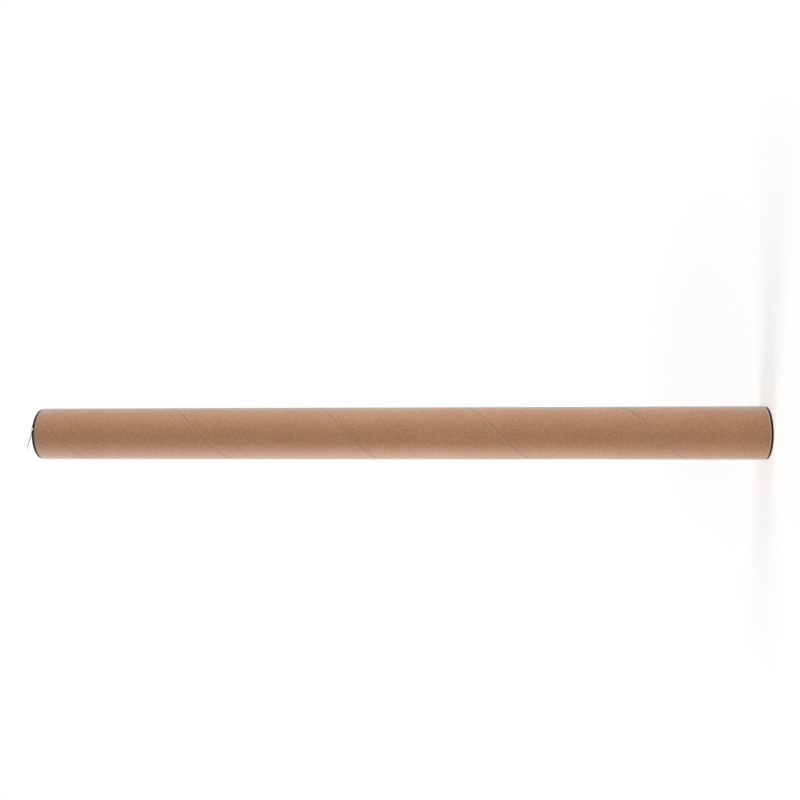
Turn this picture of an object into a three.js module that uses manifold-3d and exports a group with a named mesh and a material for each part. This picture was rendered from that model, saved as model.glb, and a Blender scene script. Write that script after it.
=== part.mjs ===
// A spiral-wound kraft paper shipping tube, closed at each end by a moulded plastic plug.
// Millimetres. The tube stands on its bottom plug: the origin is the middle of that plug's outer face, and
// +Z runs up the tube's axis to the top plug.
import * as THREE from "three";
import { mergeVertices } from "three/addons/utils/BufferGeometryUtils.js";
import Module from "manifold-3d";

// The tube
const BORE_DIAMETER = 50.8;
const WALL = 2.0;
const TUBE_LENGTH = 762;
const EDGE_BREAK = 0.25; // the sawn ends' corners are rubbed off by this much

// The butt seam of the outer ply, a right-handed spiral
const SEAM_PITCH = 156.8;
const SEAM_WIDTH = 0.6; // along the tube's axis
const SEAM_DEPTH = 0.35;
const SEAM_START = 0.032; // the seam meets the tube's lower end this part of a turn round from +X

// The plugs
const FLANGE_THICKNESS = 2.1;
const FLANGE_INSET = 0.5; // the flange is this much smaller than the tube, on the radius
const FLANGE_ROUND = 0.25;
const PLUG_DEPTH = 17.5; // from the flange's seat to the plug's inner end
const PLUG_WALL = 1.5;
const PLUG_CLEARANCE = 0.45; // between the plug's wall and the bore, on the radius
const PLUG_LEAD_IN = 1.5;
const FLOOR_THICKNESS = 1.5; // the web across the plug's inner end
const FLOOR_FILLET = 2.0;
const SEAT_GAP = 0.1; // between the flange and the tube's end

// The crush ribs that grip the bore
const RIB_COUNT = 12;
const RIB_WIDTH = 1.2;
const RIB_ROOT = 0.6; // how far a rib's foot is set into the plug's wall
const RIB_CLEARANCE = 0.12; // at rest the ribs just clear the flats of the bore

// The strand of flash that has come away from the top plug's rim
const STRAND_DIAMETER = 0.6;
const STRAND_ROOT = 15.5; // it leaves the rim's corner this far before the middle of its run
const STRAND_SINK = 0.35; // how far its root lies below the plug's outer face
const STRAND_REACH = 16.8; // from the middle of its run to its tip
const STRAND_RISE = 5.2; // how far its tip stands off the plug's outer face
const STRAND_SIDES = 6;
const STRAND_STEPS = 28;

const ROUND_SEGMENTS = 64; // facets round the tube and the plugs
const FILLET_POINTS = 4;
const CUT_MARGIN = 1; // how far a cutter runs past what it cuts

// Worked out from the sizes above
const TUBE_RADIUS = BORE_DIAMETER / 2 + WALL;
const BORE_RADIUS = BORE_DIAMETER / 2;
const BORE_FLAT_RADIUS = BORE_RADIUS * Math.cos(Math.PI / ROUND_SEGMENTS);
const FLANGE_RADIUS = TUBE_RADIUS - FLANGE_INSET;
const PLUG_RADIUS = BORE_RADIUS - PLUG_CLEARANCE;
const RECESS_RADIUS = PLUG_RADIUS - PLUG_WALL;
const TUBE_BOTTOM = FLANGE_THICKNESS + SEAT_GAP;
const TUBE_TOP = TUBE_BOTTOM + TUBE_LENGTH;
const TOTAL_LENGTH = TUBE_TOP + SEAT_GAP + FLANGE_THICKNESS;

const wasm = await Module();
wasm.setup();

// A closed geometry as a solid that can be joined and cut.
function solidOf(geometry) {
  geometry.deleteAttribute("normal");
  geometry.deleteAttribute("uv");
  const merged = mergeVertices(geometry, 1e-4);
  return new wasm.Manifold(
    new wasm.Mesh({
      numProp: 3,
      vertProperties: new Float32Array(merged.attributes.position.array),
      triVerts: new Uint32Array(merged.index.array),
    }),
  );
}

function geometryOf(solid) {
  const mesh = solid.getMesh();
  const geometry = new THREE.BufferGeometry();
  geometry.setAttribute("position", new THREE.BufferAttribute(mesh.vertProperties, 3));
  geometry.setIndex(new THREE.BufferAttribute(mesh.triVerts, 1));
  geometry.computeVertexNormals();
  return geometry;
}

// A profile of [radius, height] points turned round the Z axis.
function turned(profile) {
  const points = profile.map(([radius, height]) => new THREE.Vector2(radius, height));
  return new THREE.LatheGeometry(points, ROUND_SEGMENTS).rotateX(Math.PI / 2);
}

// Points on an arc in a profile, from one angle to another.
function arc(centreRadius, centreHeight, radius, from, to) {
  return Array.from({ length: FILLET_POINTS + 1 }, (_, i) => {
    const angle = from + ((to - from) * i) / FILLET_POINTS;
    return [centreRadius + radius * Math.cos(angle), centreHeight + radius * Math.sin(angle)];
  });
}

// A long thin bar bent round the tube's axis along the seam, standing out of the surface that it cuts. Its
// steps fall on the tube's own facets, so the groove has an even depth.
function seamCutter() {
  const turnsPast = SEAM_WIDTH / SEAM_PITCH + 1 / ROUND_SEGMENTS;
  const firstStep = Math.floor((SEAM_START - turnsPast) * ROUND_SEGMENTS);
  const lastStep = Math.ceil((SEAM_START + TUBE_LENGTH / SEAM_PITCH + turnsPast) * ROUND_SEGMENTS);
  const bar = new THREE.BoxGeometry(1, 1, 1, lastStep - firstStep, 1, 1);
  const position = bar.attributes.position;
  for (let i = 0; i < position.count; i += 1) {
    const step = THREE.MathUtils.lerp(firstStep, lastStep, position.getX(i) + 0.5);
    const turns = Math.round(step) / ROUND_SEGMENTS;
    const angle = turns * 2 * Math.PI;
    const radius = position.getY(i) < 0 ? TUBE_RADIUS - SEAM_DEPTH : TUBE_RADIUS + CUT_MARGIN;
    const height = (turns - SEAM_START) * SEAM_PITCH - position.getZ(i) * SEAM_WIDTH;
    position.setXYZ(i, radius * Math.cos(angle), radius * Math.sin(angle), height);
  }
  return bar;
}

// The wound wall, its lower end at height 0.
function kraftTube() {
  const wall = turned([
    [BORE_RADIUS + EDGE_BREAK, 0],
    [TUBE_RADIUS - EDGE_BREAK, 0],
    [TUBE_RADIUS, EDGE_BREAK],
    [TUBE_RADIUS, TUBE_LENGTH - EDGE_BREAK],
    [TUBE_RADIUS - EDGE_BREAK, TUBE_LENGTH],
    [BORE_RADIUS + EDGE_BREAK, TUBE_LENGTH],
    [BORE_RADIUS, TUBE_LENGTH - EDGE_BREAK],
    [BORE_RADIUS, EDGE_BREAK],
    [BORE_RADIUS + EDGE_BREAK, 0],
  ]);
  return solidOf(wall).subtract(solidOf(seamCutter()));
}

// One upright crush rib on the plug's wall.
function crushRib(index) {
  const outer = BORE_FLAT_RADIUS - RIB_CLEARANCE;
  const inner = PLUG_RADIUS - RIB_ROOT;
  const bottom = FLANGE_THICKNESS / 2;
  const top = FLANGE_THICKNESS + PLUG_DEPTH - PLUG_LEAD_IN;
  const outline = new THREE.Shape();
  outline.moveTo(inner, bottom);
  outline.lineTo(outer, bottom);
  outline.lineTo(outer, top - PLUG_LEAD_IN);
  outline.lineTo(inner, top);
  const rib = new THREE.ExtrudeGeometry(outline, { depth: RIB_WIDTH, bevelEnabled: false });
  rib.translate(0, 0, -RIB_WIDTH / 2).rotateX(Math.PI / 2);
  return solidOf(rib.rotateZ(((index + 0.5) / RIB_COUNT) * 2 * Math.PI));
}

// A plug with its outer face down at height 0: a cup, open outwards, with a flange round its mouth.
function plug() {
  const end = FLANGE_THICKNESS + PLUG_DEPTH;
  const floor = end - FLOOR_THICKNESS;
  const cup = turned([
    [0, floor],
    ...arc(RECESS_RADIUS - FLOOR_FILLET, floor - FLOOR_FILLET, FLOOR_FILLET, Math.PI / 2, 0),
    ...arc(RECESS_RADIUS + FLANGE_ROUND, FLANGE_ROUND, FLANGE_ROUND, Math.PI, 1.5 * Math.PI),
    ...arc(FLANGE_RADIUS - FLANGE_ROUND, FLANGE_ROUND, FLANGE_ROUND, 1.5 * Math.PI, 2 * Math.PI),
    [FLANGE_RADIUS, FLANGE_THICKNESS],
    [PLUG_RADIUS, FLANGE_THICKNESS],
    [PLUG_RADIUS, end - PLUG_LEAD_IN],
    [PLUG_RADIUS - PLUG_LEAD_IN / 2, end],
    [0, end],
  ]);
  let solid = solidOf(cup);
  for (let index = 0; index < RIB_COUNT; index += 1) {
    solid = solid.add(crushRib(index));
  }
  return solid;
}

// The strand starts inside the rim's corner, follows the rim, then springs off it along a tangent and curls
// away from the face. A point is given by its distance along the tangent and its distance off the plug's
// outer face.
function strandPoint([along, above]) {
  const rootRadius = FLANGE_RADIUS - FLANGE_ROUND / 2 - STRAND_DIAMETER / 2;
  const depth = along > 0 ? Math.sqrt(rootRadius ** 2 - along ** 2) : rootRadius;
  return new THREE.Vector3(along, depth, -above);
}

function strand() {
  const curl = [
    [0.19, 0.3],
    [0.39, 0.53],
    [0.58, 0.75],
    [0.77, 0.94],
    [0.9, 0.99],
    [1, 1],
  ];
  const route = [
    [STRAND_ROOT, -STRAND_SINK],
    [STRAND_ROOT / 2, -STRAND_SINK / 2],
    [0, STRAND_DIAMETER / 2],
    ...curl.map(([reach, rise]) => [-STRAND_REACH * reach, STRAND_RISE * rise]),
  ];
  const section = new THREE.Shape();
  for (let side = 0; side < STRAND_SIDES; side += 1) {
    const angle = (side / STRAND_SIDES) * 2 * Math.PI;
    const x = (STRAND_DIAMETER / 2) * Math.cos(angle);
    const y = (STRAND_DIAMETER / 2) * Math.sin(angle);
    if (side === 0) {
      section.moveTo(x, y);
    } else {
      section.lineTo(x, y);
    }
  }
  const path = new THREE.CatmullRomCurve3(route.map(strandPoint), false, "centripetal");
  return solidOf(new THREE.ExtrudeGeometry(section, { steps: STRAND_STEPS, extrudePath: path }));
}

const kraft = new THREE.MeshStandardMaterial({ color: "#b58a66", roughness: 0.9, metalness: 0 });
const blackPlastic = new THREE.MeshStandardMaterial({ color: "#151515", roughness: 0.5, metalness: 0 });

function part(name, solid, material) {
  const mesh = new THREE.Mesh(geometryOf(solid), material);
  mesh.name = name;
  return mesh;
}

const shippingTube = new THREE.Group();

shippingTube.add(part("bottom_cap", plug(), blackPlastic));

const tube = part("kraft_tube", kraftTube(), kraft);
tube.position.z = TUBE_BOTTOM;
shippingTube.add(tube);

const topCap = part("top_cap", plug().add(strand()), blackPlastic);
topCap.rotation.x = Math.PI;
topCap.position.z = TOTAL_LENGTH;
shippingTube.add(topCap);

export default shippingTube;
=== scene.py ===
import math

import bmesh
import bpy
from mathutils import Matrix, Vector


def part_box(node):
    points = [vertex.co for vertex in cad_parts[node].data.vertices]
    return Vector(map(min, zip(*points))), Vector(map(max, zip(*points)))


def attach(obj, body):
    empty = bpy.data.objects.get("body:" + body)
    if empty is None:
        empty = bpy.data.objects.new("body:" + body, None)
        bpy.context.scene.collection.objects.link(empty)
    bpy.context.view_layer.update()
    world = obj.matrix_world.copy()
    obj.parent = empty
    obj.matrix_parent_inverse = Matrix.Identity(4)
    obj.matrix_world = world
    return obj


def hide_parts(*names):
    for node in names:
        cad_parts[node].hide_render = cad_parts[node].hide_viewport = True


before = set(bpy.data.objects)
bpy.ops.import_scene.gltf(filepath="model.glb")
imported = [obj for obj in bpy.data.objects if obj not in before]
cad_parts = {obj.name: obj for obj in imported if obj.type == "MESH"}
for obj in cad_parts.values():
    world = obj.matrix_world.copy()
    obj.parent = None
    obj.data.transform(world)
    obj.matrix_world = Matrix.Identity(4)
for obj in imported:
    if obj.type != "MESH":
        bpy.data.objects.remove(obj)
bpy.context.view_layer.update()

TURN = 2 * math.pi
MM = 0.001

# The tube's sizes, from the frame where it gives them
tube_low, tube_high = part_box("kraft_tube")
TUBE_RADIUS = tube_high.x
WALL = 2.0 * MM
BORE_RADIUS = TUBE_RADIUS - WALL
TUBE_BOTTOM = tube_low.z
TUBE_TOP = tube_high.z

# How far the sawn ends' corners are worn off, and the share of that at which a worn corner's slope changes
EDGE_BREAK = 0.25 * MM
TOP_EDGE_BREAK = 0.60 * MM
CORNER_ROUNDING = 0.3

# The outer ply's spiral butt seam, whose lips are rounded and have a narrow flat strip beside them, and the
# faint dent over the gap in the ply below it
PLY_PITCH = 156.8 * MM
SEAM_START = 0.032
SEAM_HEIGHT = TUBE_BOTTOM - SEAM_START * PLY_PITCH
SEAM_HALF_WIDTH = 0.37 * MM
SEAM_DEPTH = 0.36 * MM
SEAM_LIP = 0.12 * MM
LIP_ROUNDING = 0.3
LIP_STRIP = 6 * SEAM_LIP
INNER_SEAM_SHARE = 0.79
INNER_SEAM_HALF_WIDTH = 1.1 * MM
INNER_SEAM_DENT = 0.05 * MM
WALL_SEGMENTS = 224

# How close points are merged, counted as lying in a plane, and left uncut by the saw
MERGE_DISTANCE = 0.004 * MM
PLANE_TOLERANCE = 0.01 * MM
SAW_TOLERANCE = 0.001 * MM

# The plugs
TOTAL_LENGTH = TUBE_TOP + TUBE_BOTTOM
plug_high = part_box("bottom_cap")[1]
PLUG_END = plug_high.z
FLANGE_RADIUS = plug_high.x
FLANGE_THICKNESS = 2.1 * MM
FLANGE_ROUND = 0.25 * MM
FLANGE_BACK_CORNER = 0.15 * MM
PLUG_CLEARANCE = 0.45 * MM
PLUG_RADIUS = BORE_RADIUS - PLUG_CLEARANCE
PLUG_WALL = 1.5 * MM
PLUG_ROOT_CORNER = 0.3 * MM
PLUG_LEAD_IN = 1.5 * MM
RECESS_RADIUS = PLUG_RADIUS - PLUG_WALL
RECESS_DRAFT = 0.05 * MM

# The floor of the plug's recess: a dimple at the moulding's gate, and a low ring round it, whose edges are
# shares of the recess's radius
FLOOR_THICKNESS = 1.5 * MM
FLOOR_FILLET = 2.0 * MM
GATE_RADIUS = 1.6 * MM
GATE_FLARE = 1.25
GATE_DIMPLE = 0.35 * MM
FLOOR_RING_INNER = 0.45
FLOOR_RING_OUTER = 0.50
FLOOR_RING_SLOPE = 0.01
FLOOR_RING_HEIGHT = 0.12 * MM

# The crush ribs. The plug has a whole number of facet columns for each of them.
RIB_COUNT = 12
RIB_COLUMNS = 2
COLUMNS_PER_RIB = 20
PLUG_SEGMENTS = RIB_COUNT * COLUMNS_PER_RIB
RIB_CLEARANCE = 0.15 * MM
RIB_RADIUS = BORE_RADIUS - RIB_CLEARANCE

# The strand of flash on the top plug's rim, and the ellipsoid cut out of the rim where it came away
STRAND_RADIUS = 0.28 * MM
STRAND_INSET = 0.45 * MM
STRAND_DEPTH = FLANGE_RADIUS - STRAND_INSET
NOTCH_HALF_SIZES = (2.1 * MM, 3.2 * MM, 1.25 * MM)
NOTCH_ALONG = 5.9 * MM

SMOOTH_WALL_DEGREES = 28
SMOOTH_PLUG_DEGREES = 40


def deselect_everything():
    if bpy.context.object and bpy.context.object.mode != "OBJECT":
        bpy.ops.object.mode_set(mode="OBJECT")
    bpy.ops.object.select_all(action="DESELECT")


def make_active(piece):
    deselect_everything()
    piece.select_set(True)
    bpy.context.view_layer.objects.active = piece


def edit(piece):
    make_active(piece)
    bpy.ops.object.mode_set(mode="EDIT")


def leave_edit():
    bpy.ops.object.mode_set(mode="OBJECT")


def apply_modifier(piece, modifier):
    make_active(piece)
    bpy.ops.object.modifier_apply(modifier=modifier.name)


def smooth_by_angle(piece, degrees):
    make_active(piece)
    bpy.ops.object.shade_smooth_by_angle(angle=math.radians(degrees))


def arc(centre_radius, centre_height, radius, start, end, steps=5):
    """Points on an arc of a profile, as (radius, height)."""
    angles = [math.radians(start + (end - start) * i / steps) for i in range(steps + 1)]
    return [
        (centre_radius + radius * math.cos(angle), centre_height + radius * math.sin(angle))
        for angle in angles
    ]


# The wound wall

def ply_profile():
    """The outer ply's surface along the tube's axis, from one seam to the next, as points of (radius,
    height above the seam)."""
    floor = TUBE_RADIUS - SEAM_DEPTH
    lip = [
        (floor, 0),
        (floor, SEAM_HALF_WIDTH),
        (TUBE_RADIUS - SEAM_LIP, SEAM_HALF_WIDTH),
        (TUBE_RADIUS - LIP_ROUNDING * SEAM_LIP, SEAM_HALF_WIDTH + LIP_ROUNDING * SEAM_LIP),
        (TUBE_RADIUS, SEAM_HALF_WIDTH + SEAM_LIP),
        (TUBE_RADIUS, SEAM_HALF_WIDTH + LIP_STRIP),
    ]
    next_lip = [(radius, PLY_PITCH - height) for radius, height in reversed(lip)]
    dent_middle = INNER_SEAM_SHARE * PLY_PITCH
    dent = [
        (TUBE_RADIUS - depth * INNER_SEAM_DENT, dent_middle + side * INNER_SEAM_HALF_WIDTH)
        for depth, side in ((0, -1), (0.5, -0.5), (1, 0), (0.5, 0.5), (0, 1))
    ]
    return [*lip, (TUBE_RADIUS, 0.5 * PLY_PITCH), *dent, *next_lip]


def wind_ply(piece, turns):
    """Winds the profile up the tube as a right-handed spiral."""
    screw = piece.modifiers.new("winding", "SCREW")
    screw.axis = "Z"
    screw.angle = TURN
    screw.screw_offset = PLY_PITCH
    screw.iterations = turns
    screw.steps = WALL_SEGMENTS
    screw.render_steps = WALL_SEGMENTS
    screw.use_smooth_shade = False
    apply_modifier(piece, screw)


def saw_off(height, keep_above):
    """Cuts the open mesh in edit mode square across at a height."""
    bpy.ops.mesh.select_all(action="SELECT")
    bpy.ops.mesh.bisect(
        plane_co=(0, 0, height),
        plane_no=(0, 0, 1),
        threshold=SAW_TOLERANCE,
        use_fill=False,
        clear_inner=keep_above,
        clear_outer=not keep_above,
    )


def lies_level(edge, height):
    """Whether an edge lies at a height."""
    return all(abs(vertex.co.z - height) < PLANE_TOLERANCE for vertex in edge.verts)


def wear_corner(mesh, height, outward, worn):
    """Carries the sawn edge at a height over the wall's worn outer corner to its flat end."""
    rings = [
        (TUBE_RADIUS - CORNER_ROUNDING * worn, height + outward * (1 - CORNER_ROUNDING) * worn),
        (TUBE_RADIUS - worn, height + outward * worn),
    ]
    edge = [e for e in mesh.edges if e.is_boundary and lies_level(e, height)]
    for radius, ring_height in rings:
        grown = bmesh.ops.extrude_edge_only(mesh, edges=edge)["geom"]
        edge = [g for g in grown if isinstance(g, bmesh.types.BMEdge)]
        for vertex in {v for e in edge for v in e.verts}:
            flat = Vector((vertex.co.x, vertex.co.y, 0))
            reach = min(radius, flat.length)
            vertex.co = flat.normalized() * reach + Vector((0, 0, ring_height))


def line_bore():
    """Adds the bore's wall and its two rubbed corners to the mesh in edit mode, as an open tube."""
    rings = [
        (BORE_RADIUS + EDGE_BREAK, TUBE_BOTTOM),
        (BORE_RADIUS, TUBE_BOTTOM + EDGE_BREAK),
        (BORE_RADIUS, TUBE_TOP - EDGE_BREAK),
        (BORE_RADIUS + EDGE_BREAK, TUBE_TOP),
    ]
    radius, height = rings[0]
    bpy.ops.mesh.select_mode(type="EDGE")
    bpy.ops.mesh.select_all(action="DESELECT")
    bpy.ops.mesh.primitive_circle_add(
        vertices=WALL_SEGMENTS, radius=radius, fill_type="NOTHING", location=(0, 0, height)
    )
    for next_radius, next_height in rings[1:]:
        bpy.ops.mesh.extrude_region_move(TRANSFORM_OT_translate={"value": (0, 0, next_height - height)})
        scale = next_radius / radius
        bpy.ops.transform.resize(value=(scale, scale, 1), center_override=(0, 0, 0))
        radius, height = next_radius, next_height


def close_end(wall, height):
    """Fills the flat end between the wall's outer corner and the bore's."""
    bpy.ops.mesh.select_mode(type="EDGE")
    bpy.ops.mesh.select_all(action="DESELECT")
    shape = bmesh.from_edit_mesh(wall.data)
    for edge in shape.edges:
        edge.select_set(edge.is_boundary and lies_level(edge, height))
    bmesh.update_edit_mesh(wall.data)
    bpy.ops.mesh.fill(use_beauty=True)


def model_kraft_tube():
    """The wall: wound longer than the tube, sawn to length, worn at its corners and lined with the bore."""
    first = math.floor((TUBE_BOTTOM - SEAM_HEIGHT) / PLY_PITCH) - 1
    turns = math.ceil((TUBE_TOP - SEAM_HEIGHT) / PLY_PITCH) - first + 1
    start = SEAM_HEIGHT + first * PLY_PITCH
    points = [(radius, 0, start + height) for radius, height in ply_profile()]
    mesh = bpy.data.meshes.new("kraft_tube_wall")
    mesh.from_pydata(points, [(i, i + 1) for i in range(len(points) - 1)], [])
    wall = bpy.data.objects.new("kraft_tube_wall", mesh)
    bpy.context.scene.collection.objects.link(wall)
    wind_ply(wall, turns)
    edit(wall)
    bpy.ops.mesh.select_all(action="SELECT")
    bpy.ops.mesh.remove_doubles(threshold=MERGE_DISTANCE)
    saw_off(TUBE_BOTTOM + EDGE_BREAK, keep_above=True)
    saw_off(TUBE_TOP - TOP_EDGE_BREAK, keep_above=False)
    bpy.ops.mesh.select_all(action="DESELECT")
    shape = bmesh.from_edit_mesh(wall.data)
    wear_corner(shape, TUBE_BOTTOM + EDGE_BREAK, -1, EDGE_BREAK)
    wear_corner(shape, TUBE_TOP - TOP_EDGE_BREAK, 1, TOP_EDGE_BREAK)
    bmesh.update_edit_mesh(wall.data)
    bpy.ops.mesh.select_all(action="SELECT")
    bpy.ops.mesh.remove_doubles(threshold=MERGE_DISTANCE)
    line_bore()
    close_end(wall, TUBE_BOTTOM)
    close_end(wall, TUBE_TOP)
    bpy.ops.mesh.select_all(action="SELECT")
    bpy.ops.mesh.normals_make_consistent(inside=False)
    leave_edit()
    smooth_by_angle(wall, SMOOTH_WALL_DEGREES)
    return wall


# The moulded plugs

def model_plug():
    """A plug with its outer face down at height 0, drawn ring by ring from the middle of its recess to its
    inner end."""
    floor = PLUG_END - FLOOR_THICKNESS
    rings = [
        (GATE_RADIUS, floor + GATE_DIMPLE),
        (GATE_FLARE * GATE_RADIUS, floor),
        (FLOOR_RING_INNER * RECESS_RADIUS, floor),
        ((FLOOR_RING_INNER + FLOOR_RING_SLOPE) * RECESS_RADIUS, floor - FLOOR_RING_HEIGHT),
        ((FLOOR_RING_OUTER - FLOOR_RING_SLOPE) * RECESS_RADIUS, floor - FLOOR_RING_HEIGHT),
        (FLOOR_RING_OUTER * RECESS_RADIUS, floor),
        *arc(RECESS_RADIUS - FLOOR_FILLET, floor - FLOOR_FILLET, FLOOR_FILLET, 90, 0),
        (RECESS_RADIUS + RECESS_DRAFT, 0.5 * PLUG_END),
        *arc(RECESS_RADIUS + FLANGE_ROUND, FLANGE_ROUND, FLANGE_ROUND, 180, 270),
        *arc(FLANGE_RADIUS - FLANGE_ROUND, FLANGE_ROUND, FLANGE_ROUND, 270, 360),
        (FLANGE_RADIUS, FLANGE_THICKNESS - FLANGE_BACK_CORNER),
        (FLANGE_RADIUS - FLANGE_BACK_CORNER, FLANGE_THICKNESS),
        (PLUG_RADIUS + PLUG_ROOT_CORNER, FLANGE_THICKNESS),
        (PLUG_RADIUS, FLANGE_THICKNESS + PLUG_ROOT_CORNER),
        (PLUG_RADIUS, PLUG_END - 2 * PLUG_LEAD_IN),
        (PLUG_RADIUS, PLUG_END - PLUG_LEAD_IN),
        (PLUG_RADIUS - 0.2 * PLUG_LEAD_IN, PLUG_END - 0.4 * PLUG_LEAD_IN),
        (PLUG_RADIUS - 0.5 * PLUG_LEAD_IN, PLUG_END),
        (0.5 * PLUG_RADIUS, PLUG_END),
    ]
    deselect_everything()
    radius, height = rings[0]
    bpy.ops.mesh.primitive_circle_add(
        vertices=PLUG_SEGMENTS, radius=radius, fill_type="NGON", enter_editmode=True, location=(0, 0, 0)
    )
    plug = bpy.context.object
    bpy.ops.mesh.select_all(action="SELECT")
    bpy.ops.transform.translate(value=(0, 0, height))
    for next_radius, next_height in rings[1:]:
        bpy.ops.mesh.extrude_region_move(TRANSFORM_OT_translate={"value": (0, 0, next_height - height)})
        scale = next_radius / radius
        bpy.ops.transform.resize(value=(scale, scale, 1), center_override=(0, 0, 0))
        radius, height = next_radius, next_height
    raise_ribs(plug)
    bpy.ops.mesh.select_all(action="SELECT")
    bpy.ops.mesh.normals_make_consistent(inside=False)
    leave_edit()
    smooth_by_angle(plug, SMOOTH_PLUG_DEGREES)
    return plug


def raise_ribs(plug):
    """Draws the crush ribs out of the plug's wall, two facets wide."""
    bpy.ops.mesh.select_all(action="DESELECT")
    bpy.ops.mesh.select_mode(type="FACE")
    shape = bmesh.from_edit_mesh(plug.data)
    low = FLANGE_THICKNESS + PLUG_ROOT_CORNER
    high = PLUG_END - 2 * PLUG_LEAD_IN
    for face in shape.faces:
        middle = face.calc_center_median()
        halfway_up = abs(middle.z - (low + high) / 2) < 0.1 * MM
        outside = math.hypot(middle.x, middle.y) > PLUG_RADIUS - MM
        column = math.floor((math.atan2(middle.y, middle.x) % TURN) / TURN * PLUG_SEGMENTS)
        on_rib = (column + COLUMNS_PER_RIB // 2) % COLUMNS_PER_RIB < RIB_COLUMNS
        face.select_set(halfway_up and outside and on_rib)
    bmesh.update_edit_mesh(plug.data)
    bpy.ops.mesh.extrude_region_move()
    grow = RIB_RADIUS / PLUG_RADIUS
    bpy.ops.transform.resize(value=(grow, grow, 1), center_override=(0, 0, 0))


def model_strand():
    """A hair-thin strand of flash that runs along the rim's corner, springs off it and curls down to its
    tip. Its points are listed: how far along the rim's tangent and above the plug's outer face, both
    in millimetres, and how thick, as a share of STRAND_RADIUS."""
    route = [
        (15.5, -0.35, 1.2),
        (11.5, -0.20, 1.2),
        (8.2, 0.05, 1.0),
        (5.8, 0.15, 0.9),
        (3.0, 0.15, 1.0),
        (0.0, 0.45, 1.15),
        (-3.2, 1.55, 1.3),
        (-6.5, 2.75, 1.35),
        (-9.8, 3.90, 1.2),
        (-13.0, 4.90, 0.65),
        (-15.2, 5.15, 0.5),
        (-16.8, 5.20, 0.35),
    ]
    curve = bpy.data.curves.new("strand", "CURVE")
    curve.dimensions = "3D"
    curve.resolution_u = 8
    curve.bevel_depth = STRAND_RADIUS
    curve.bevel_resolution = 3
    curve.use_fill_caps = True
    spline = curve.splines.new("NURBS")
    spline.points.add(len(route) - 1)
    spline.order_u = 4
    spline.use_endpoint_u = True
    for point, (along, above, thickness) in zip(spline.points, route):
        x = along * MM
        depth = math.sqrt(STRAND_DEPTH ** 2 - x ** 2) if x > 0 else STRAND_DEPTH
        point.co = (x, -depth, TOTAL_LENGTH + above * MM, 1)
        point.radius = thickness
    strand = bpy.data.objects.new("strand", curve)
    bpy.context.scene.collection.objects.link(strand)
    make_active(strand)
    bpy.ops.object.convert(target="MESH")
    strand = bpy.context.object
    edit(strand)
    bpy.ops.mesh.select_all(action="SELECT")
    bpy.ops.mesh.remove_doubles(threshold=MERGE_DISTANCE)
    leave_edit()
    return strand


def notch_rim(plug):
    """Cuts the small notch that the strand has left in the rim's corner."""
    deselect_everything()
    bpy.ops.mesh.primitive_uv_sphere_add(segments=24, ring_count=12, radius=1, location=(0, 0, 0))
    cutter = bpy.context.object
    cutter.scale = NOTCH_HALF_SIZES
    cutter.location = (NOTCH_ALONG, -FLANGE_RADIUS, TOTAL_LENGTH)
    bpy.ops.object.transform_apply(location=True, rotation=True, scale=True)
    cut = plug.modifiers.new("notch", "BOOLEAN")
    cut.operation = "DIFFERENCE"
    cut.solver = "EXACT"
    cut.object = cutter
    apply_modifier(plug, cut)
    bpy.data.objects.remove(cutter)


def model_plugs():
    """The two plugs. The top one is a copy turned over, with the notch and the strand."""
    bottom = model_plug()
    bottom.name = "bottom_plug_moulding"
    bottom.data.name = bottom.name
    top = bottom.copy()
    top.data = bottom.data.copy()
    top.name = "top_plug_moulding"
    top.data.name = top.name
    bpy.context.scene.collection.objects.link(top)
    top.data.transform(Matrix.Translation((0, 0, TOTAL_LENGTH)) @ Matrix.Rotation(math.pi, 4, "X"))
    notch_rim(top)
    strand = model_strand()
    deselect_everything()
    strand.select_set(True)
    top.select_set(True)
    bpy.context.view_layer.objects.active = top
    bpy.ops.object.join()
    smooth_by_angle(top, SMOOTH_PLUG_DEGREES)
    return bottom, top


# Materials

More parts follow.
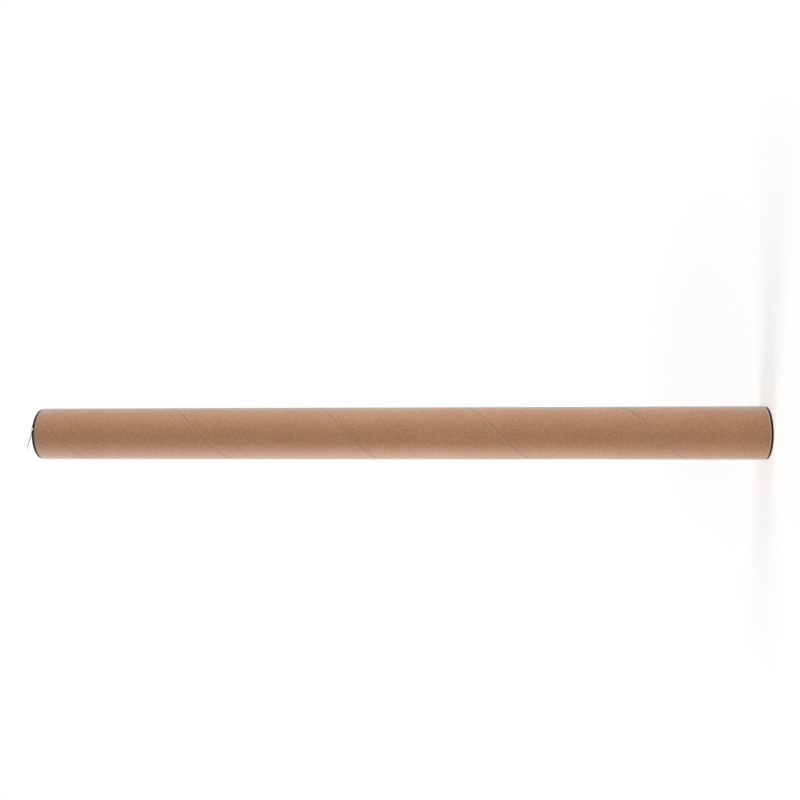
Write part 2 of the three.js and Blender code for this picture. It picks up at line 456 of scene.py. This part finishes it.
class Nodes:
    """A material's node tree, with short ways to add and join nodes."""

    def __init__(self, name):
        self.material = bpy.data.materials.new(name)
        self.material.use_nodes = True
        self.tree = self.material.node_tree
        self.shader = self.tree.nodes["Principled BSDF"]
        self.place = self.add("ShaderNodeTexCoord").outputs["Object"]

    def add(self, kind, inputs=None, **settings):
        node = self.tree.nodes.new(kind)
        for key, value in settings.items():
            setattr(node, key, value)
        for key, value in (inputs or {}).items():
            if isinstance(value, bpy.types.NodeSocket):
                self.tree.links.new(value, node.inputs[key])
            else:
                node.inputs[key].default_value = value
        return node

    def math(self, operation, first, second=0.0):
        node = self.add("ShaderNodeMath", {0: first, 1: second}, operation=operation)
        return node.outputs[0]

    def ramp(self, value, low, high, out_low=0.0, out_high=1.0):
        """Goes smoothly from one result to another as the value goes from low to high."""
        inputs = {"Value": value, "From Min": low, "From Max": high, "To Min": out_low, "To Max": out_high}
        return self.add("ShaderNodeMapRange", inputs, interpolation_type="SMOOTHSTEP").outputs["Result"]

    def vector(self, x, y, z):
        return self.add("ShaderNodeCombineXYZ", {"X": x, "Y": y, "Z": z}).outputs["Vector"]

    def noise(self, place, scale, detail=2.0, roughness=0.5):
        inputs = {"Vector": place, "Scale": scale, "Detail": detail, "Roughness": roughness}
        return self.add("ShaderNodeTexNoise", inputs).outputs["Fac"]

    def mix(self, share, first, second):
        node = self.add("ShaderNodeMix", {"Factor": share}, data_type="RGBA")
        for socket, value in ((node.inputs[6], first), (node.inputs[7], second)):
            if isinstance(value, bpy.types.NodeSocket):
                self.tree.links.new(value, socket)
            else:
                socket.default_value = (*value, 1)
        return node.outputs[2]

    def set(self, name, value):
        if isinstance(value, bpy.types.NodeSocket):
            self.tree.links.new(value, self.shader.inputs[name])
        else:
            self.shader.inputs[name].default_value = value

    def bump(self, height, distance, strength=1.0):
        inputs = {"Height": height, "Distance": distance, "Strength": strength}
        self.set("Normal", self.add("ShaderNodeBump", inputs).outputs["Normal"])


# Kraft paper's colours, and for each pattern in it how fine it is and how far it swings the tone each way
KRAFT_DARK = (0.378, 0.155, 0.056)
KRAFT_LIGHT = (0.502, 0.245, 0.115)
# the dark of the glue between the cut end's plies, and painted shade in the seams' gaps
KRAFT_GLUE_AND_GAP_SHADE = (0.150, 0.072, 0.036)
# pale kraft for the pale flecks and cut fibres, and for the painted highlights on the seam's lip and at the
# foot
KRAFT_PALE_AND_HIGHLIGHT = (0.640, 0.470, 0.350)
KRAFT_FLECK = (0.220, 0.105, 0.050)
# painted shade beside the top plug's flange
KRAFT_RIM_SHADE = (0.190, 0.125, 0.095)
CLOUD_SCALE = 28
CLOUD_SWING = 0.17
CLUMP_SCALE = 380
CLUMP_SWING = 0.42
FIBRE_SCALE = 900
FIBRE_SWING = 0.72
FLECK_SCALE = 620
FIBRE_DRAW = 0.7  # the pace of clumps and fibres along the ply, as a share of their pace across it
KRAFT_BUMP = 0.02 * MM
PLY_THICKNESS = 0.4 * MM

PLASTIC_BLACK = (0.0035, 0.0032, 0.0032)
PLASTIC_SOFT_BLACK = (0.0060, 0.0055, 0.0055)
PLASTIC_SCUFF = (0.016, 0.015, 0.015)


def ply_coordinates(nodes):
    """How far a point lies along the ply's length and across its width, its share of the way across, and
    the point's own coordinates."""
    split = nodes.add("ShaderNodeSeparateXYZ", {0: nodes.place}).outputs
    round_share = nodes.math("DIVIDE", nodes.math("ARCTAN2", split["Y"], split["X"]), TURN)
    up_share = nodes.math("DIVIDE", nodes.math("SUBTRACT", split["Z"], SEAM_HEIGHT), PLY_PITCH)
    plies = nodes.math("SUBTRACT", up_share, round_share)
    turn_number = nodes.math("FLOOR", plies)
    across_share = nodes.math("SUBTRACT", plies, turn_number)
    circumference = TURN * TUBE_RADIUS
    turn_length = math.hypot(circumference, PLY_PITCH)
    turns_along = nodes.math("ADD", round_share, turn_number)
    rise = PLY_PITCH / turn_length
    along = nodes.math(
        "ADD",
        nodes.math("MULTIPLY", turns_along, turn_length),
        nodes.math("MULTIPLY", across_share, PLY_PITCH * rise),
    )
    across = nodes.math("MULTIPLY", across_share, PLY_PITCH * circumference / turn_length)
    return along, across, across_share, split


def kraft_paper(nodes, along, across):
    """Kraft colour and height: soft cloudy formation, mottled fibre clumps, fine fibres and flecks."""
    sheet = nodes.vector(along, across, 0.0)
    drawn = nodes.vector(nodes.math("MULTIPLY", along, FIBRE_DRAW), across, 0.0)
    clouds = nodes.noise(sheet, CLOUD_SCALE, 3.0, 0.55)
    clumps = nodes.noise(drawn, CLUMP_SCALE, 3.0, 0.6)
    fibres = nodes.noise(drawn, FIBRE_SCALE, 2.0, 0.6)
    tone = nodes.math("ADD", nodes.ramp(clouds, 0.25, 0.75, -CLOUD_SWING, CLOUD_SWING), 0.5)
    tone = nodes.math("ADD", tone, nodes.ramp(clumps, 0.25, 0.75, -CLUMP_SWING, CLUMP_SWING))
    tone = nodes.math("ADD", tone, nodes.ramp(fibres, 0.2, 0.8, -FIBRE_SWING, FIBRE_SWING))
    colour = nodes.mix(tone, KRAFT_DARK, KRAFT_LIGHT)
    # dark flecks where this noise is highest, and pale ones where it is lowest
    fleck_noise = nodes.noise(nodes.vector(along, across, 0.01), FLECK_SCALE, 1.0, 0.5)
    colour = nodes.mix(nodes.ramp(fleck_noise, 0.68, 0.75, 0.0, 0.5), colour, KRAFT_FLECK)
    colour = nodes.mix(nodes.ramp(fleck_noise, 0.32, 0.25, 0.0, 0.35), colour, KRAFT_PALE_AND_HIGHLIGHT)
    height = nodes.math("ADD", nodes.math("MULTIPLY", fibres, 0.6), nodes.math("MULTIPLY", clumps, 0.4))
    return colour, height


def kraft_outside():
    """The outer ply: kraft paper with its seam and the line of the ply below, painted with highlight and
    shade, and ends with a painted highlight at the foot and painted shade at the top.
    """
    nodes = Nodes("kraft_outer_ply")
    along, across, share, split = ply_coordinates(nodes)
    colour, height = kraft_paper(nodes, along, across)
    # a painted highlight along the seam's upper lip, painted shade in the gap, and painted shade along the
    # faint line over the gap in the ply below
    lip = SEAM_HALF_WIDTH / PLY_PITCH
    # painted highlight where the seam's upper lip catches the light
    lip_highlight = nodes.ramp(share, 1.2 * lip, 7.0 * lip, 0.35, 0.0)
    colour = nodes.mix(lip_highlight, colour, KRAFT_PALE_AND_HIGHLIGHT)
    from_seam = nodes.math("MINIMUM", share, nodes.math("SUBTRACT", 1.0, share))
    # painted shade in the seam's gap
    gap_shade = nodes.ramp(from_seam, 0.8 * lip, 2.4 * lip, 0.55, 0.0)
    colour = nodes.mix(gap_shade, colour, KRAFT_GLUE_AND_GAP_SHADE)
    # painted shade along the faint dent over the gap in the ply below
    dent_offset = nodes.math("ABSOLUTE", nodes.math("SUBTRACT", share, INNER_SEAM_SHARE))
    dent = nodes.ramp(dent_offset, 0.0, INNER_SEAM_HALF_WIDTH / PLY_PITCH, 0.22, 0.0)
    colour = nodes.mix(dent, colour, KRAFT_DARK)
    # a painted highlight along the sawn edge at the foot, and painted shade at the top beside the plug's
    # flange
    # painted highlight: paler just above the foot's sawn edge
    foot_highlight = nodes.ramp(split["Z"], TUBE_BOTTOM + 0.5 * MM, TUBE_BOTTOM + 1.4 * MM, 0.75, 0.0)
    colour = nodes.mix(foot_highlight, colour, KRAFT_PALE_AND_HIGHLIGHT)
    # painted shade: darker just below the top edge
    top_rim_shade = nodes.ramp(split["Z"], TUBE_TOP - 1.7 * MM, TUBE_TOP - 0.4 * MM, 0.0, 0.75)
    colour = nodes.mix(top_rim_shade, colour, KRAFT_RIM_SHADE)
    nodes.set("Base Color", colour)
    nodes.set("Roughness", 0.62)
    nodes.set("Specular IOR Level", 0.5)
    nodes.set("Sheen Weight", 1.0)
    nodes.set("Sheen Roughness", 0.5)
    nodes.bump(height, KRAFT_BUMP, 0.7)
    return nodes.material


def kraft_liner():
    """The bore's ply: a little darker, with no sheen, its seam halfway between the outer ply's."""
    nodes = Nodes("kraft_liner")
    along, across, share, _ = ply_coordinates(nodes)
    colour, height = kraft_paper(nodes, along, across)
    # painted shade in the gap of the liner's seam
    from_seam = nodes.math("ABSOLUTE", nodes.math("SUBTRACT", share, 0.5))
    gap_shade = nodes.ramp(from_seam, 0.0, 0.9 * MM / PLY_PITCH, 0.7, 0.0)
    nodes.set("Base Color", nodes.mix(gap_shade, nodes.mix(0.35, colour, KRAFT_DARK), KRAFT_GLUE_AND_GAP_SHADE))
    nodes.set("Roughness", 0.8)
    nodes.bump(height, KRAFT_BUMP, 0.7)
    return nodes.material


def kraft_cut_end():
    """The sawn end: the glued plies show as fine rings, in a fuzz of cut fibres."""
    nodes = Nodes("kraft_cut_end")
    split = nodes.add("ShaderNodeSeparateXYZ", {0: nodes.place}).outputs
    flat = nodes.vector(split["X"], split["Y"], 0.0)
    radius = nodes.add("ShaderNodeVectorMath", {0: flat}, operation="LENGTH").outputs["Value"]
    waver = nodes.ramp(nodes.noise(nodes.place, 90, 2.0), 0.2, 0.8, -0.05 * MM, 0.05 * MM)
    plies = nodes.math("MULTIPLY", nodes.math("ADD", radius, waver), 1 / PLY_THICKNESS)
    ring = nodes.math("ABSOLUTE", nodes.math("SUBTRACT", nodes.math("FRACT", plies), 0.5))
    glue = nodes.ramp(ring, 0.34, 0.48, 0.0, 0.75)
    fuzz = nodes.noise(nodes.place, 3200, 3.0, 0.7)
    colour = nodes.mix(nodes.ramp(fuzz, 0.3, 0.7), KRAFT_DARK, KRAFT_PALE_AND_HIGHLIGHT)
    nodes.set("Base Color", nodes.mix(glue, colour, KRAFT_GLUE_AND_GAP_SHADE))
    nodes.set("Roughness", 0.9)
    nodes.bump(fuzz, 0.08 * MM, 0.8)
    return nodes.material


def black_plastic():
    """Moulded polyethylene: near black, waxy, with a faint mould grain and a few pale scuffs."""
    nodes = Nodes("black_moulded_plastic")
    grain = nodes.noise(nodes.place, 5200, 2.0, 0.5)
    cloud = nodes.noise(nodes.place, 160, 3.0, 0.6)
    scuffs = nodes.ramp(nodes.noise(nodes.place, 420, 4.0, 0.7), 0.62, 0.72, 0.0, 0.35)
    colour = nodes.mix(nodes.ramp(cloud, 0.3, 0.7), PLASTIC_BLACK, PLASTIC_SOFT_BLACK)
    nodes.set("Base Color", nodes.mix(scuffs, colour, PLASTIC_SCUFF))
    nodes.set("Roughness", nodes.ramp(cloud, 0.3, 0.7, 0.46, 0.58))
    nodes.set("Specular IOR Level", 0.14)
    nodes.bump(grain, 0.015 * MM, 0.5)
    return nodes.material


def dress_tube(wall):
    """Gives the wall's outside, its sawn ends and its bore their materials."""
    outside, sawn_end, bore = range(3)
    for material in (kraft_outside(), kraft_cut_end(), kraft_liner()):
        wall.data.materials.append(material)
    for face in wall.data.polygons:
        radius = math.hypot(face.center.x, face.center.y)
        if abs(face.normal.z) > 0.9:
            face.material_index = sawn_end
        elif radius < BORE_RADIUS + 0.6 * EDGE_BREAK:
            face.material_index = bore
        else:
            face.material_index = outside


# The studio

FLOOR_SPAN = 12.0
FLOOR_GAP = 0.2 * MM
FLOOR_PALE = 0.80
FLOOR_GLOW_NEAR = 0.38
FLOOR_GLOW_FAR = 0.80
FLOOR_GLOW_FROM = 0.15
FLOOR_GLOW_TO = 2.0
WORLD_STRENGTH = 0.43
LAMP_COLOUR = (1.0, 0.995, 0.985)

# Each lamp's name, place, width, height and watts
LAMPS = [
    ("lamp_right", (1.50, -0.20, 0.54), 1.0, 0.7, 11.3),
    ("lamp_left", (-1.50, 0.24, 0.54), 0.8, 0.7, 14.4),
    ("lamp_front", (0, -1.25, 0.50), 0.5, 0.3, 2.3),
]


def white_to_camera(nodes, surface, strength):
    """Adds a glow that only the camera, reflections and clear things see, so a lit surface shows white.
    From below the surface is clear, so the tube's foot can be seen."""
    tree = nodes.tree
    path = nodes.add("ShaderNodeLightPath").outputs
    seen = nodes.math("MAXIMUM", path["Is Camera Ray"], path["Is Glossy Ray"])
    seen = nodes.math("MAXIMUM", seen, path["Is Transmission Ray"])
    level = nodes.math("MULTIPLY", seen, strength)
    glow = nodes.add("ShaderNodeEmission", {"Color": (1, 1, 1, 1), "Strength": level})
    both = nodes.add("ShaderNodeAddShader", {0: surface, 1: glow.outputs[0]})
    below = nodes.add("ShaderNodeNewGeometry").outputs["Backfacing"]
    clear = nodes.add("ShaderNodeBsdfTransparent").outputs[0]
    sided = nodes.add("ShaderNodeMixShader", {0: below, 1: both.outputs[0], 2: clear})
    output = next(node for node in tree.nodes if node.type == "OUTPUT_MATERIAL")
    tree.links.new(sided.outputs[0], output.inputs["Surface"])


def lay_floor():
    deselect_everything()
    bpy.ops.mesh.primitive_plane_add(size=FLOOR_SPAN, location=(0, 0, -FLOOR_GAP))
    floor = bpy.context.object
    floor.name = "studio_floor"
    nodes = Nodes("studio_floor_white")
    nodes.set("Base Color", (FLOOR_PALE, FLOOR_PALE, FLOOR_PALE, 1))
    nodes.set("Roughness", 0.9)
    nodes.set("Specular IOR Level", 0.0)
    distance = nodes.add("ShaderNodeVectorMath", {0: nodes.place}, operation="LENGTH").outputs["Value"]
    glow = nodes.ramp(distance, FLOOR_GLOW_FROM, FLOOR_GLOW_TO, FLOOR_GLOW_NEAR, FLOOR_GLOW_FAR)
    white_to_camera(nodes, nodes.shader.outputs[0], glow)
    floor.data.materials.append(nodes.material)


def light_world(strength):
    """Lights the object evenly, and shows white to the camera, reflections and clear things."""
    world = bpy.data.worlds.new("studio")
    bpy.context.scene.world = world
    world.use_nodes = True
    tree = world.node_tree
    background = tree.nodes["Background"]
    path = tree.nodes.new("ShaderNodeLightPath")
    seen = tree.nodes.new("ShaderNodeMath")
    seen.operation = "MAXIMUM"
    tree.links.new(path.outputs["Is Camera Ray"], seen.inputs[0])
    tree.links.new(path.outputs["Is Glossy Ray"], seen.inputs[1])
    also = tree.nodes.new("ShaderNodeMath")
    also.operation = "MAXIMUM"
    tree.links.new(seen.outputs[0], also.inputs[0])
    tree.links.new(path.outputs["Is Transmission Ray"], also.inputs[1])
    level = tree.nodes.new("ShaderNodeMapRange")
    level.inputs["To Min"].default_value = strength
    level.inputs["To Max"].default_value = 1.0
    tree.links.new(also.outputs[0], level.inputs["Value"])
    tree.links.new(level.outputs["Result"], background.inputs["Strength"])
    background.inputs["Color"].default_value = (1, 1, 1, 1)


def hang_lamp(name, place, aim, width, height, watts):
    lamp = bpy.data.lights.new(name, "AREA")
    lamp.shape = "RECTANGLE"
    lamp.size = width
    lamp.size_y = height
    lamp.energy = watts
    lamp.color = LAMP_COLOUR
    holder = bpy.data.objects.new(name, lamp)
    bpy.context.scene.collection.objects.link(holder)
    holder.location = place
    holder.rotation_euler = (Vector(aim) - Vector(place)).to_track_quat("-Z", "Y").to_euler()


def place_camera():
    """The camera is turned a quarter round, so that the tube's foot is at the frame's right side."""
    place = Vector((30.3, -1021.8, 289.3)) * MM
    aim = Vector((35.2, 0.0, 375.75)) * MM
    roll = math.radians(0.239)
    camera = bpy.data.cameras.new("camera")
    camera.sensor_width = 36.0
    camera.lens = 43.686
    camera.clip_start = 0.01
    camera.clip_end = 50
    holder = bpy.data.objects.new("camera", camera)
    bpy.context.scene.collection.objects.link(holder)
    look = (aim - place).normalized()
    right = Vector((0, 0, -1))
    right = (right - look * right.dot(look)).normalized()
    right = Matrix.Rotation(roll, 3, look) @ right
    up = right.cross(look)
    turn = Matrix((right, up, -look)).transposed().to_4x4()
    holder.matrix_world = Matrix.Translation(place) @ turn
    bpy.context.scene.camera = holder


place_camera()

wall = model_kraft_tube()
dress_tube(wall)
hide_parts("kraft_tube")
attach(wall, "tube")

bottom_plug, top_plug = model_plugs()
plastic = black_plastic()
for plug, node, body in ((bottom_plug, "bottom_cap", "bottom_plug"), (top_plug, "top_cap", "top_plug")):
    plug.data.materials.clear()
    plug.data.materials.append(plastic)
    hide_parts(node)
    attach(plug, body)

lay_floor()
light_world(WORLD_STRENGTH)
tube_middle = (0, 0, TOTAL_LENGTH / 2)
for name, place, width, height, watts in LAMPS:
    hang_lamp(name, place, tube_middle, width, height, watts)

bpy.context.scene.view_settings.view_transform = "Standard"

bpy.context.view_layer.update()
